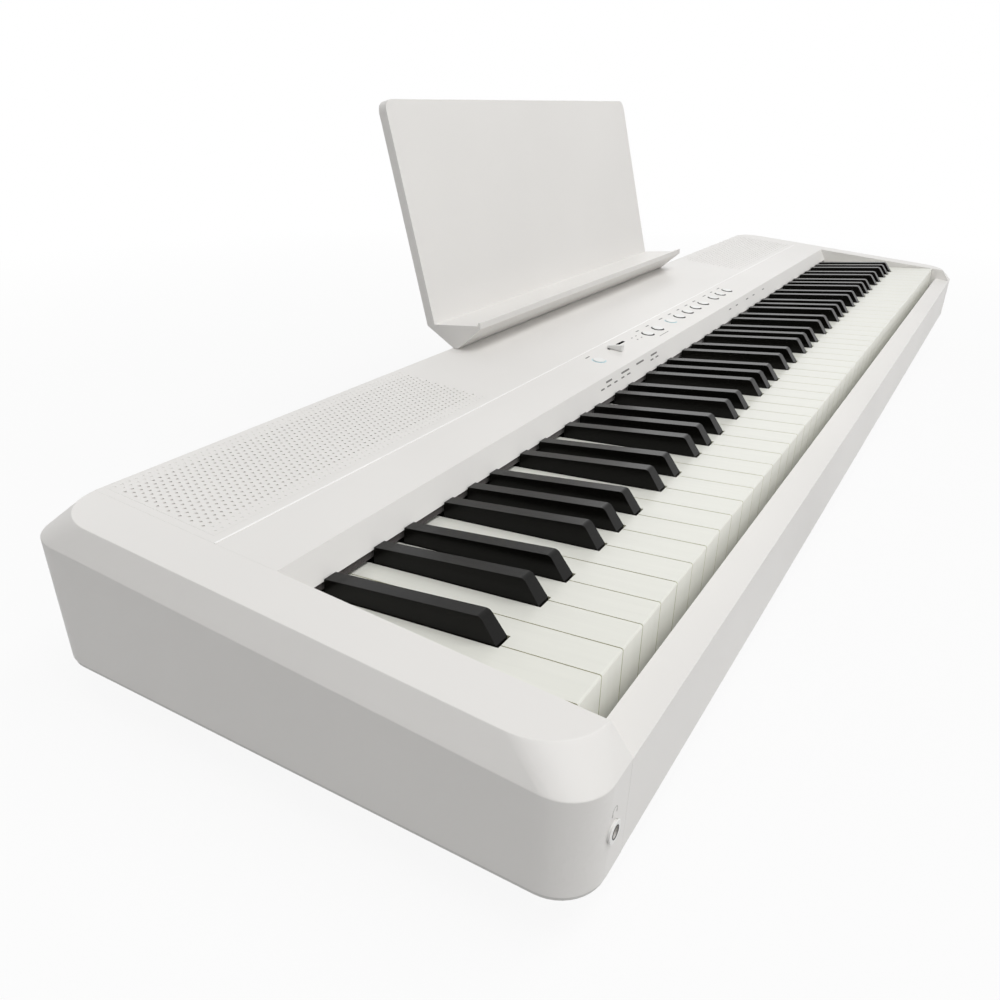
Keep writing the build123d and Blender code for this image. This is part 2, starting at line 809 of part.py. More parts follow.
# Side view of a hammer: lever and hook in front of its shaft, arm and weight behind it
with BuildSketch() as hammer_side:
    with BuildLine():
        Polyline(
            (lever_front, hook_bottom),
            (hook_back, hook_bottom),
            (hook_back, hammer_z - hammer_boss),
            (hammer_y, hammer_z - hammer_boss),
            (weight_front, weight_bottom),
            (weight_back, weight_bottom),
            (weight_back, weight_bottom + weight_height),
            (weight_front, weight_bottom + weight_height),
            (weight_front, weight_bottom + arm_depth),
            (hammer_y + hammer_boss, lever_top),
            (lever_front, lever_top),
            close=True,
        )
    make_face()
    with Locations((hammer_y, hammer_z)):
        Circle(shaft_radius + running_gap, mode=Mode.SUBTRACT)

# The hammers, one set for each note
for note, group, slot in notes:
    with BuildPart() as hammers:
        for x in hammer_places[note]:
            with BuildSketch(Plane.YZ.offset(x - hammer_width / 2)):
                add(hammer_side.sketch)
            extrude(amount=hammer_width)
    hand_in(hammers.part, f"{note}_hammers")

# Brackets between the octaves carry both shafts and the stop rail
end_bracket = bed_half - bracket_width
bracket_places = [-end_bracket] + group_starts("low", 0) + [end_bracket]
bracket_top = pivot_z + hammer_boss
with BuildPart() as pivot_brackets:
    with BuildSketch(Plane.YZ):
        with BuildLine():
            Polyline(
                (hammer_y - hammer_boss, bed_top),
                (weight_front - bracket_margin, bed_top),
                (weight_front - bracket_margin, bed_top + rest_felt_thickness + bracket_margin),
                (weight_back + bracket_margin, bed_top + rest_felt_thickness + bracket_margin),
                (weight_back + bracket_margin, bed_top),
                (stick_back, bed_top),
                (stick_back, bracket_top),
                (stop_rail_back + panel_gap, bracket_top),
                (stop_rail_back + panel_gap, stop_rail_z),
                (stop_rail_back - stop_rail_seat, stop_rail_z),
                (stop_rail_back - stop_rail_seat, stop_felt_bottom - bracket_margin),
                (stop_rail_front - bracket_margin, stop_felt_bottom - bracket_margin),
                (hammer_y + hammer_boss, hammer_z + hammer_boss),
                (hammer_y - hammer_boss, hammer_z + hammer_boss),
                close=True,
            )
        make_face()
        with Locations((pivot_y, pivot_z), (hammer_y, hammer_z)):
            Circle(shaft_radius + running_gap, mode=Mode.SUBTRACT)
    extrude(amount=bracket_width / 2, both=True)
brackets = [Pos(x, 0, 0) * pivot_brackets.part for x in bracket_places]
hand_in(Compound(children=brackets), "pivot_brackets")

# Sensor board under the hammer hooks, with a rubber contact for each hammer
with BuildPart() as sensor_board:
    with BuildSketch(Plane.XY.offset(bed_top + spacer)):
        span((-bed_half, lever_front - sensor_margin), (bed_half, hook_back + sensor_margin))
    extrude(amount=board)
    with BuildSketch(Plane.XY.offset(bed_top)):
        with Locations(*[(x, (lever_front + hook_back) / 2) for x in bracket_places]):
            RegularPolygon(spacer_radius, spacer_sides)
    extrude(amount=spacer)
hand_in(sensor_board.part, "sensor_board")

with BuildPart() as contact_strip:
    with BuildSketch(Plane.XY.offset(bed_top + spacer + board)):
        span((-bed_half, lever_front), (bed_half, hook_back))
    extrude(amount=contact_base)
    with BuildSketch(Plane.XY.offset(bed_top + spacer + board)):
        with Locations(*[(x, (lever_front + hook_back) / 2) for note in hammer_places for x in hammer_places[note]]):
            Rectangle(contact_size, contact_size)
    extrude(amount=contact_height)
hand_in(contact_strip.part, "contact_strip")

# Main board behind the keybed, on spacers in the pan
main_front = bed_back + main_gap
main_back = main_front + main_depth
with BuildPart() as main_board:
    with BuildSketch(Plane.XY.offset(pan_floor + spacer)):
        span((-main_half, main_front), (main_half, main_back))
    extrude(amount=board)
    with BuildSketch(Plane.XY.offset(pan_floor)):
        with Locations((0, (main_front + main_back) / 2)):
            with GridLocations(main_half - 2 * spacer_radius, main_back - main_front - 4 * spacer_radius, 3, 2):
                RegularPolygon(spacer_radius, spacer_sides)
    extrude(amount=spacer)
hand_in(main_board.part, "main_board")

# Music rest: leaning board and ledge on a wedge foot, hollow at the back, with tongues for the pockets
lean = radians(rest_lean)
root_z = deck_z(top_back) + rest_root_rise
ledge_y = rest_root_y - ledge_depth * cos(radians(ledge_tilt))
ledge_z = root_z + ledge_depth * sin(radians(ledge_tilt))
back_y = rest_root_y + rest_thickness * cos(lean)
back_z = root_z - rest_thickness * sin(lean)
land_back = top_back - foot_back_inset
land_front = land_back - foot_land
rest_plane = Plane(
    origin=(0, rest_root_y, root_z),
    x_dir=(1, 0, 0),
    z_dir=(0, -cos(lean), sin(lean)),
)
rib_bay = (rest_width - rest_skin) / rest_ribs
with BuildPart() as music_rest:
    with BuildSketch(rest_plane):
        with Locations((0, (rest_height - rest_root_rise) / 2)):
            RectangleRounded(rest_width, rest_height + rest_root_rise, rest_corner)
        with Locations((0, -rest_root_rise)):
            Rectangle(2 * rest_width, 2 * rest_root_rise, mode=Mode.SUBTRACT)
    extrude(amount=-rest_thickness)
    with BuildSketch(rest_plane.offset(-rest_thickness)):
        with Locations((0, rest_height / 2)):
            with GridLocations(rib_bay, rest_height, rest_ribs, 1):
                Rectangle(rib_bay - rest_skin, rest_height - 2 * rest_skin)
    extrude(amount=rest_thickness - rest_skin, mode=Mode.SUBTRACT)
    with BuildSketch(Plane.YZ):
        with BuildLine():
            Polyline(
                (rest_root_y, root_z),
                (ledge_y + ledge_lip_width, ledge_z),
                (ledge_y + ledge_lip_width, ledge_z + ledge_lip),
                (ledge_y, ledge_z + ledge_lip),
                (ledge_y, ledge_z - ledge_lip_width),
                (land_front, deck_z(land_front) + seat_gap),
                (land_back, deck_z(land_back) + seat_gap),
                (back_y, back_z),
                close=True,
            )
        make_face()
    extrude(amount=rest_width / 2, both=True)
    with BuildSketch(deck.offset(rest_root_rise / 2)):
        with Locations(*tongue_places):
            Rectangle(rest_tongue_width, rest_tongue)
    extrude(amount=-rest_root_rise / 2 - rest_tongue_depth)
hand_in(music_rest.part, "music_rest")
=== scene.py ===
# %% [markdown]
# A slab digital piano: a white case with a long keyboard, a strip of controls, two speaker grilles and a
# music rest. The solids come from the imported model, and they already have the right shape, size and
# place. This lesson gives them soft edges and real finishes, makes the fine pieces that the solids leave
# out, and sets the camera and the light.

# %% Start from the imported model
import json
import math
from contextlib import contextmanager

import bmesh
import bpy
from mathutils import Euler, Matrix, Vector


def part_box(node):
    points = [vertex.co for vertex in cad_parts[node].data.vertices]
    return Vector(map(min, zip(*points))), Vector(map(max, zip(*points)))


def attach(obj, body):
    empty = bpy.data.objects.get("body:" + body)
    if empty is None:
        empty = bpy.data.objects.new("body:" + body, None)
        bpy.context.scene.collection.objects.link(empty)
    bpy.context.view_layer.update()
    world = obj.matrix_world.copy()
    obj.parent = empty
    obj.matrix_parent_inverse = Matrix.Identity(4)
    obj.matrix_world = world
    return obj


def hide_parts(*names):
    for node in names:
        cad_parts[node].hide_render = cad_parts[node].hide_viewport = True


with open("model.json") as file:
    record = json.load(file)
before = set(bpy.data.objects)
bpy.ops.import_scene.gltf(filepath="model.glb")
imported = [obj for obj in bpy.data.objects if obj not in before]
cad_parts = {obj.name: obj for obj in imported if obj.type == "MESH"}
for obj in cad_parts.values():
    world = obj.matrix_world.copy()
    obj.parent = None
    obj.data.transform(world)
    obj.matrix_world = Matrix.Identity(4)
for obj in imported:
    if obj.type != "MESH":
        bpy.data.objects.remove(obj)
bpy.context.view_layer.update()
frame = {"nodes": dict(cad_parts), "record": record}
record = frame["record"]
slot_of = {part["node"]: part["material_slot"] for part in record["subparts"]}
body_of = {node: body for body, members in record["behaviour"]["bodies"].items() for node in members}

# %% [markdown]
# Most visible surfaces lie on the deck, the top of the case, which falls four degrees towards the player.
# Anything on the deck is easiest to model flat, and to tilt into place at the end. The helper settle does
# that, and bakes the place into the mesh so that the object itself stays at the origin.

# %% The deck
MM = 0.001
DECK_TILT = math.radians(4.0)
DECK_RISE = 112.4 * MM
on_deck = Matrix.Translation((0, 0, DECK_RISE)) @ Matrix.Rotation(DECK_TILT, 4, "X")


def pick(*pieces):
    """Select these pieces only, the last one active."""
    bpy.ops.object.select_all(action="DESELECT")
    for piece in pieces:
        piece.select_set(True)
    bpy.context.view_layer.objects.active = pieces[-1]


def settle(piece, place=Matrix.Identity(4)):
    """Put a piece in its place, and bake the place into its mesh."""
    piece.matrix_world = place @ piece.matrix_world
    pick(piece)
    bpy.ops.object.transform_apply(location=True, rotation=True, scale=True)
    return piece


def gather(pieces, name):
    """Join copies into one piece with a name."""
    pick(*pieces)
    if len(pieces) > 1:
        bpy.ops.object.join()
    piece = bpy.context.active_object
    piece.name = name
    piece.data.name = name
    return piece


def copy_of(piece):
    """A copy with its own mesh."""
    twin = bpy.data.objects.new(piece.name, piece.data.copy())
    bpy.context.scene.collection.objects.link(twin)
    return twin


def along(y):
    """Distance along the deck that lies over depth y."""
    return y / math.cos(DECK_TILT)


def deck_spot(x, y, lift=0.0):
    """Where a flat piece goes to lie on the deck at x and depth y, in millimetres."""
    return on_deck @ Matrix.Translation((x * MM, along(y * MM), lift * MM))


print("deck height over the origin:", DECK_RISE)

# %% [markdown]
# By hand, a piece is shaped in edit mode by selecting and pulling. Edit-mode operators act on what is
# selected, so here a selection is made in code, by a test on each point, edge or face.


# %% Edit mode and selection
@contextmanager
def editing(piece):
    """Edit mode on one piece, for as long as a block lasts."""
    pick(piece)
    bpy.ops.object.mode_set(mode="EDIT")
    yield
    bpy.ops.object.mode_set(mode="OBJECT")


def choose(piece, kind, test):
    """In edit mode, select only the vertices, edges or faces that pass a test."""
    bpy.ops.mesh.select_mode(type=kind)
    bpy.ops.mesh.select_all(action="DESELECT")
    mesh = bmesh.from_edit_mesh(piece.data)
    for item in {"VERT": mesh.verts, "EDGE": mesh.edges, "FACE": mesh.faces}[kind]:
        if test(item):
            item.select_set(True)
    mesh.select_flush_mode()
    bmesh.update_edit_mesh(piece.data)


print("edit tools ready")

# %% [markdown]
# Many fine pieces start as a flat sheet. Two modifiers come back often: an array that welds its copies,
# and a solidify that gives a sheet its thickness. Points closer than the weld are one point, and a test
# on a place allows a little more than that.

# %% Sheets and rows
WELD = 0.01 * MM
NEAR = 0.02 * MM


def sheet_of(width, length):
    """A flat sheet of this size at the origin."""
    bpy.ops.object.select_all(action="DESELECT")
    bpy.ops.mesh.primitive_plane_add(size=1.0)
    piece = bpy.context.active_object
    piece.scale = (width, length, 1.0)
    bpy.ops.object.transform_apply(scale=True)
    return piece


def repeat(piece, count, step):
    """A row of copies of a piece, each a step from the last, with shared corners welded."""
    row = piece.modifiers.new("row", "ARRAY")
    row.count = count
    row.use_relative_offset = False
    row.use_constant_offset = True
    row.constant_offset_displace = step
    row.use_merge_vertices = True
    row.merge_threshold = WELD
    pick(piece)
    bpy.ops.object.modifier_apply(modifier=row.name)


def thicken(piece, thickness, offset):
    """Give a sheet its thickness, below it for an offset of -1 and above it for 1."""
    wall = piece.modifiers.new("wall", "SOLIDIFY")
    wall.thickness = thickness
    wall.offset = offset
    pick(piece)
    bpy.ops.object.modifier_apply(modifier=wall.name)
    return piece


def face_up(piece):
    """Turn all faces of a flat sheet upwards."""
    with editing(piece):
        bpy.ops.mesh.select_all(action="SELECT")
        bpy.ops.mesh.normals_make_consistent(inside=False)
    if sum(face.normal.z * face.area for face in piece.data.polygons) < 0:
        piece.data.flip_normals()
    return piece


print("points weld within", WELD)

# %% [markdown]
# Rings start as one circle, which is extruded and scaled outwards to a flat band. A thick piece often has
# its upper edges rounded, and those are found by their height. At the end, each piece gets its material
# and the body that carries it.


# %% Bands, rounded tops and the last fitting
def band(inner, outer, points):
    """A flat ring round the origin, facing up."""
    bpy.ops.object.select_all(action="DESELECT")
    bpy.ops.mesh.primitive_circle_add(vertices=points, radius=inner, fill_type="NOTHING")
    piece = bpy.context.active_object
    with editing(piece):
        bpy.ops.mesh.select_all(action="SELECT")
        bpy.ops.mesh.extrude_edges_move()
        bpy.ops.transform.resize(value=[outer / inner] * 3, center_override=(0, 0, 0))
    return face_up(piece)


def round_top(piece, above, width, steps):
    """Round the edges of a piece that lie wholly above a height."""
    with editing(piece):
        choose(piece, "EDGE", lambda edge: all(point.co.z > above for point in edge.verts))
        bpy.ops.mesh.bevel(offset=width, segments=steps)
    return piece


def fit(piece, body, slot, finish, *nodes):
    """Finish a piece: its material, the body that carries it, and the nodes that it stands for. The slot is
    not used.
    """
    piece.data.materials.clear()
    piece.data.materials.append(finish)
    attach(piece, body)
    if nodes:
        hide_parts(*nodes)
    return piece


# %% [markdown]
# Nearly every finish on this piano is moulded plastic, metal, felt or rubber, and all of them have a fine
# grain. The grain is a noise on Object coordinates, which are metres here, so a scale of 2500 gives a
# grain of about 0.4 mm. A grain that runs one way is the same noise on stretched coordinates.


# %% Colours and noises
def tone(red, green, blue):
    """A colour read in screen values, as the linear numbers that a shader takes."""
    channels = [value / 255 for value in (red, green, blue)]
    return tuple(c / 12.92 if c <= 0.04045 else ((c + 0.055) / 1.055) ** 2.4 for c in channels) + (1.0,)


def new_finish(name):
    """An empty finish: its material, its tree, its shader and its Object coordinates."""
    finish = bpy.data.materials.new(name)
    finish.use_nodes = True
    tree = finish.node_tree
    shader = tree.nodes["Principled BSDF"]
    place = tree.nodes.new("ShaderNodeTexCoord")
    return finish, tree, shader, place.outputs["Object"]


def stretched(tree, coordinates, scale):
    """The coordinates, stretched so that a grain runs one way."""
    mapping = tree.nodes.new("ShaderNodeMapping")
    mapping.inputs["Scale"].default_value = scale
    tree.links.new(coordinates, mapping.inputs["Vector"])
    return mapping.outputs["Vector"]


def noise(tree, coordinates, scale, detail=2.0):
    """A noise of this scale on the coordinates."""
    field = tree.nodes.new("ShaderNodeTexNoise")
    field.inputs["Scale"].default_value = scale
    field.inputs["Detail"].default_value = detail
    tree.links.new(coordinates, field.inputs["Vector"])
    return field.outputs["Fac"]


print("mid grey as linear numbers:", [round(c, 3) for c in tone(128, 128, 128)])

# %% [markdown]
# The grain drives a shallow bump, and slower noises move the colour and the gloss a little, as on real
# mouldings. The gloss varies about its middle value by a small spread.

# %% Colour, gloss and grain
RAMP_LOW, RAMP_HIGH = 0.3, 0.7
GRAIN_DEPTH = 0.04 * MM
PLASTIC_SPREAD = 0.04


def blend_tones(tree, shader, field, low, high):
    """Move the base colour between two tones."""
    ramp = tree.nodes.new("ShaderNodeValToRGB")
    ramp.color_ramp.elements[0].position = RAMP_LOW
    ramp.color_ramp.elements[0].color = low
    ramp.color_ramp.elements[1].position = RAMP_HIGH
    ramp.color_ramp.elements[1].color = high
    tree.links.new(field, ramp.inputs["Fac"])
    tree.links.new(ramp.outputs["Color"], shader.inputs["Base Color"])


def vary_gloss(tree, shader, field, low, high):
    """Move the roughness between two values."""
    spread = tree.nodes.new("ShaderNodeMapRange")
    spread.inputs["To Min"].default_value = low
    spread.inputs["To Max"].default_value = high
    tree.links.new(field, spread.inputs["Value"])
    tree.links.new(spread.outputs["Result"], shader.inputs["Roughness"])


def emboss(tree, shader, field, strength, depth):
    """Raise the surface a little where the field is high."""
    bump = tree.nodes.new("ShaderNodeBump")
    bump.inputs["Strength"].default_value = strength
    bump.inputs["Distance"].default_value = depth
    tree.links.new(field, bump.inputs["Height"])
    tree.links.new(bump.outputs["Normal"], shader.inputs["Normal"])


def moulded(name, low, high, gloss, grain=2500.0, strength=0.12, shine=0.5):
    """Moulded plastic or paint with a fine even grain."""
    finish, tree, shader, place = new_finish(name)
    shader.inputs["Specular IOR Level"].default_value = shine
    blend_tones(tree, shader, noise(tree, place, scale=5.0), low, high)
    vary_gloss(tree, shader, noise(tree, place, scale=40.0), gloss - PLASTIC_SPREAD, gloss + PLASTIC_SPREAD)
    emboss(tree, shader, noise(tree, place, scale=grain), strength, GRAIN_DEPTH)
    return finish


print("grain depth:", GRAIN_DEPTH)

# %% [markdown]
# The case, the controls and the pan are three whites of the same plastic family. The white keys are a
# little warmer and have faint streaks along their length, like ivory. The black keys are a satin black
# with the same streaks, like ebony, so that they don't slip under the fingers.

# %% Key plastic
STREAK_DEPTH = 0.02 * MM
KEY_SPREAD = 0.05


def keytop(name, low, high, gloss, shine):
    """Key plastic with streaks that run from front to back."""
    finish, tree, shader, place = new_finish(name)
    shader.inputs["Specular IOR Level"].default_value = shine
    streaks = noise(tree, stretched(tree, place, (1.0, 0.02, 0.05)), scale=1800.0, detail=4.0)
    figure = noise(tree, stretched(tree, place, (1.0, 0.05, 0.05)), scale=300.0, detail=3.0)
    blend_tones(tree, shader, figure, low, high)
    vary_gloss(tree, shader, streaks, gloss - KEY_SPREAD, gloss + KEY_SPREAD)
    emboss(tree, shader, streaks, strength=0.12, depth=STREAK_DEPTH)
    return finish


print("streak depth:", STREAK_DEPTH)

# %% [markdown]
# The colours are given as screen values, each as a darker and a lighter tone that the noise moves
# between. The printed marks, the bead on the seam and the weave under the grilles belong to the finishes
# that show.

# %% Finishes that show
finishes = {
    "case": moulded("case_satin", tone(225, 223, 220), tone(229, 227, 224), gloss=0.45),
    "control": moulded("control_satin", tone(228, 228, 226), tone(232, 232, 230), gloss=0.36, grain=4000.0),
    "pan": moulded(
        "pan_matte", tone(205, 204, 201), tone(212, 211, 208), gloss=0.55, grain=1200.0, strength=0.3
    ),
    "white_key": keytop("white_key_satin", tone(226, 226, 218), tone(229, 229, 221), gloss=0.34, shine=0.5),
    # painted light: the key fronts are a lighter white than the keys, standing in for light down in the gap
    # before the rail
    "key_front": keytop("white_key_front", tone(244, 244, 236), tone(247, 247, 239), gloss=0.34, shine=0.5),
    "key_side": keytop("white_key_side", tone(214, 212, 184), tone(220, 218, 192), gloss=0.5, shine=0.4),
    "black_key": keytop("black_key_satin", tone(9, 9, 7), tone(13, 12, 10), gloss=0.22, shine=0.16),
    # black trim on the sides of the buttons; on the button rings and the slider slot walls it is also
    # painted shade
    "trim_and_shade": moulded("black_trim_and_shade", tone(8, 8, 8), tone(12, 12, 11), gloss=0.8, shine=0.15),
    "print": moulded("print_grey", tone(112, 110, 108), tone(124, 122, 120), gloss=0.6, grain=5000.0),
    "print_pale": moulded("print_pale", tone(178, 175, 172), tone(186, 183, 180), gloss=0.6, grain=5000.0),
    # painted light: a white whiter than the case, a painted highlight on the seam bead and a lightened wall
    # of the rail before the keys
    "bead": moulded("painted_light_white", tone(248, 247, 246), tone(251, 250, 249), gloss=0.3),
    "screen": moulded(
        "screen_weave", tone(204, 201, 197), tone(212, 209, 205), gloss=0.8, grain=3000.0, strength=0.5
    ),
}
print("finishes so far:", sorted(finishes))

# %% [markdown]
# The pieces inside the case are only seen when a key or the music rest moves, but each still gets what it
# is made of: zinc-coated sheet, ground steel, red felt, green boards, black rubber. Metal has a grain
# along one direction, felt a tangle of fibre, and a board a maze of tracks under lacquer.

# %% Metal, felt and boards
METAL_SPREAD = 0.08


def metal(name, low, high, gloss, direction, grain):
    """Metal with a rolled or ground grain along one direction."""
    finish, tree, shader, place = new_finish(name)
    shader.inputs["Metallic"].default_value = 1.0
    lines = noise(tree, stretched(tree, place, direction), scale=grain, detail=3.0)
    blend_tones(tree, shader, lines, low, high)
    vary_gloss(tree, shader, lines, gloss - METAL_SPREAD, gloss + METAL_SPREAD)
    emboss(tree, shader, lines, strength=0.1, depth=0.03 * MM)
    return finish


def felt(name, low, high):
    """Pressed wool: a noise of fibre, and a soft sheen."""
    finish, tree, shader, place = new_finish(name)
    fibre = noise(tree, place, scale=900.0, detail=6.0)
    blend_tones(tree, shader, fibre, low, high)
    shader.inputs["Roughness"].default_value = 0.95
    shader.inputs["Sheen Weight"].default_value = 0.3
    emboss(tree, shader, fibre, strength=0.7, depth=0.4 * MM)
    return finish


def circuit(name, low, high):
    """Circuit board: lacquer over a maze of tracks."""
    finish, tree, shader, place = new_finish(name)
    tracks = tree.nodes.new("ShaderNodeTexBrick")
    tracks.inputs["Scale"].default_value = 60.0
    tracks.inputs["Mortar Size"].default_value = 0.03
    tracks.inputs["Color1"].default_value = low
    tracks.inputs["Color2"].default_value = low
    tracks.inputs["Mortar"].default_value = high
    tree.links.new(place, tracks.inputs["Vector"])
    tree.links.new(tracks.outputs["Color"], shader.inputs["Base Color"])
    vary_gloss(tree, shader, noise(tree, place, scale=200.0), low=0.25, high=0.4)
    emboss(tree, shader, tracks.outputs["Fac"], strength=0.3, depth=0.1 * MM)
    return finish


print("gloss of metal varies by", METAL_SPREAD)

# %% [markdown]
# The grain of rolled sheet runs along the case, and that of the hammers from front to back. With all
# finishes made, each node gets the one of its slot.

# %% Finishes inside and behind
ALONG_X = (0.04, 1.0, 1.0)
ROUND_X = (0.03, 1.0, 1.0)
ALONG_Y = (1.0, 0.1, 1.0)
finishes |= {
    "sheet_metal": metal("zinc_sheet", tone(150, 152, 154), tone(172, 174, 176), 0.42, ALONG_X, grain=700.0),
    "shaft": metal("ground_steel", tone(176, 178, 180), tone(198, 200, 202), 0.25, ROUND_X, grain=1500.0),
    "hammer": metal("hammer_steel", tone(70, 70, 72), tone(84, 84, 86), 0.5, ALONG_Y, grain=800.0),
    "brass": metal("contact_brass", tone(176, 150, 96), tone(196, 170, 112), 0.3, ALONG_Y, grain=1500.0),
    "felt": felt("action_felt", tone(112, 20, 22), tone(146, 36, 36)),
    "seal": felt("seal_felt", tone(40, 33, 32), tone(56, 47, 45)),
    "circuit": circuit("board_lacquer", tone(22, 88, 46), tone(40, 118, 64)),
    "rubber": moulded(
        "rubber_matte", tone(30, 30, 30), tone(40, 40, 39), gloss=0.8, grain=1500.0, strength=0.4
    ),
    "speaker": moulded(
        "speaker_paper", tone(24, 24, 24), tone(36, 36, 35), gloss=0.75, grain=1800.0, strength=0.5
    ),
    "socket": moulded("socket_black", tone(28, 28, 29), tone(36, 36, 37), gloss=0.45),
    "jack": moulded("jack_ring_white", tone(228, 227, 225), tone(233, 232, 230), gloss=0.3),
}
for node, piece in frame["nodes"].items():
    piece.data.materials.clear()
    piece.data.materials.append(finishes[slot_of[node]])
print("finishes:", sorted(finishes))

# %% [markdown]
# Real mouldings have no knife edges: every edge has a small round that catches the light. Filleting every
# solid would cost many faces in the model, so the edges are rounded here. A copy of the node is welded,
# its flat faces are made whole again, and the edges that turn sharply get a bevel weight. Edges along the
# seam between an end block and the panels get none, because on the real case that seam is only a hair
# line. Weighted normals keep the flats flat. The crease of the front rail is first drawn back a little,
# so that its wall is flush with the end blocks.

# %% Round the edges of a node
SEAM_X = 611.5 * MM
SEAM_ROOM = 0.2 * MM
SEW = 0.002 * MM
FLAT_TURN = math.radians(0.4)
SHARP_TURN = math.radians(20)
SMOOTH_TURN = math.radians(40)


def soften(node, width, steps=2, ease=None):
    """A copy of a CAD node with rounded edges, which stands for it. Ease first draws some points in."""
    piece = bpy.data.objects.new(node + "_soft", frame["nodes"][node].data.copy())
    bpy.context.scene.collection.objects.link(piece)
    with editing(piece):
        bpy.ops.mesh.select_mode(type="EDGE")
        bpy.ops.mesh.select_all(action="SELECT")
        bpy.ops.mesh.remove_doubles(threshold=SEW)
        bpy.ops.mesh.dissolve_limited(angle_limit=FLAT_TURN)
        if ease:
            choose(piece, "VERT", ease[0])
            bpy.ops.transform.translate(value=ease[1])
            bpy.ops.mesh.select_mode(type="EDGE")
        bpy.ops.mesh.select_all(action="DESELECT")
        bpy.ops.mesh.edges_select_sharp(sharpness=SHARP_TURN)
    weight = piece.data.attributes.new("bevel_weight_edge", "FLOAT", "EDGE")
    for edge, mark in zip(piece.data.edges, weight.data):
        ends = [piece.data.vertices[index].co.x for index in edge.vertices]
        on_seam = all(abs(abs(x) - SEAM_X) < SEAM_ROOM for x in ends)
        mark.value = 1.0 if edge.select and not on_seam else 0.0
    bevel = piece.modifiers.new("round", "BEVEL")
    bevel.width = width
    bevel.segments = steps
    bevel.limit_method = "WEIGHT"
    bpy.ops.object.modifier_apply(modifier=bevel.name)
    bpy.ops.object.shade_smooth_by_angle(angle=SMOOTH_TURN)
    even = piece.modifiers.new("even", "WEIGHTED_NORMAL")
    even.keep_sharp = True
    bpy.ops.object.modifier_apply(modifier=even.name)
    return fit(piece, body_of[node], slot_of[node], finishes[slot_of[node]], node)


print("seams without a round at", SEAM_X)

# %% [markdown]
# Each node of the case gets a round of its own width, in millimetres here.

# %% Soft edges of the case
EDGE_ROUNDS = {
    "left_end_block": 0.6,
    "right_end_block": 0.6,
    "rear_panel": 0.5,
    "top_panel": 0.06,
    "control_strip": 0.06,
    "music_rest": 0.7,
    "volume_slider": 0.4,
    "phones_jack": 0.45,
    "bottom_pan": 0.8,
    "rubber_feet": 0.6,
    "rear_sockets": 0.3,
}
RAIL_ROUND = 0.7
CREASE_Y = -169.0 * MM
CREASE_Z = 85.0 * MM
CREASE_EASE = (0, 0.9 * MM, 0)


def on_crease(point):
    """Whether a point of the front rail lies on its crease."""
    return point.co.z > CREASE_Z and point.co.y < CREASE_Y


soft = {node: soften(node, width * MM) for node, width in EDGE_ROUNDS.items()}
soft["front_rail"] = soften("front_rail", RAIL_ROUND * MM, ease=(on_crease, CREASE_EASE))
print("softened:", {node: len(piece.data.polygons) for node, piece in soft.items()})

# %% [markdown]
# The keys have the edges that fingers meet. White keys have a fine round, black keys a broad one that
# shows as a bright line along each side of the top. The sides of the white keys are the yellower plastic
# under the key top, which tints the thin gaps between them. The fronts of the keys, and the wall of the
# rail that faces them, are painted a lighter white than the keys: painted light, so that the narrow gap
# between them stays light where it would fall into shade. The caps of the buttons are white on top, and
# dark round the side, or pale blue where the button is switched on.

# %% Keys and buttons
SHARP_ROUND = 1.3 * MM
WHITE_ROUND = 0.35 * MM
BUTTON_ROUND = 0.2 * MM
SQUARE_ON = 0.9
STEEP = 0.5
LIT_BUTTONS = ("power_button", "piano_button")
glow, tree, shader, place = new_finish("ring_lit")
blend_tones(tree, shader, noise(tree, place, scale=400.0), tone(172, 194, 198), tone(182, 202, 206))
shader.inputs["Roughness"].default_value = 0.4
shader.inputs["Emission Color"].default_value = tone(186, 210, 216)
shader.inputs["Emission Strength"].default_value = 0.15


def paint(piece, finish, test):
    """Give another finish to the faces that pass a test, and count them."""
    piece.data.materials.append(finish)
    chosen = [face for face in piece.data.polygons if test(face)]
    for face in chosen:
        face.material_index = len(piece.data.materials) - 1
    return len(chosen)


for node in frame["nodes"]:
    if node.endswith("_sharp_keys"):
        soft[node] = soften(node, SHARP_ROUND, steps=3)
    elif node.endswith("_keys"):
        soft[node] = soften(node, WHITE_ROUND)
        paint(soft[node], finishes["key_side"], lambda face: abs(face.normal.x) > SQUARE_ON)
        # painted light on the key fronts, for the shade in the gap before the rail
        paint(soft[node], finishes["key_front"], lambda face: face.normal.y < -SQUARE_ON)
    elif node.endswith("_button"):
        soft[node] = soften(node, BUTTON_ROUND)
        finish = glow if node in LIT_BUTTONS else finishes["trim_and_shade"]
        paint(soft[node], finish, lambda face: abs(face.normal.z) < STEEP)
# painted light: the rail wall that faces the keys is painted whiter, to lighten the gap before the key
# fronts
paint(soft["front_rail"], finishes["bead"], lambda face: face.normal.y > SQUARE_ON)
print("faces on a set of black keys:", len(soft["c_sharp_keys"].data.polygons))

# %% [markdown]
# The speaker grilles are thin plates with a field of small round holes. Every second row is shifted by
# half a pitch, and the two outer rows at each long side are only dimples. One cell is modelled by hand: a
# rectangle loses its middle point, and the hole that is left is bridged to a circle of eight points. The
# cell has a point at each corner and in the middle of each side, so shifted rows still share their
# points, and arrays of the cell weld into a sheet.

# %% One cell of the grille
PITCH_X = 4.8 * MM
PITCH_Y = 4.431 * MM
HOLE_RADIUS = 0.95 * MM
HOLE_POINTS = 8
DIMPLE_DEPTH = 0.2 * MM
COLUMNS = 57
ROWS = 19
MIDDLE_ROW = ROWS // 2


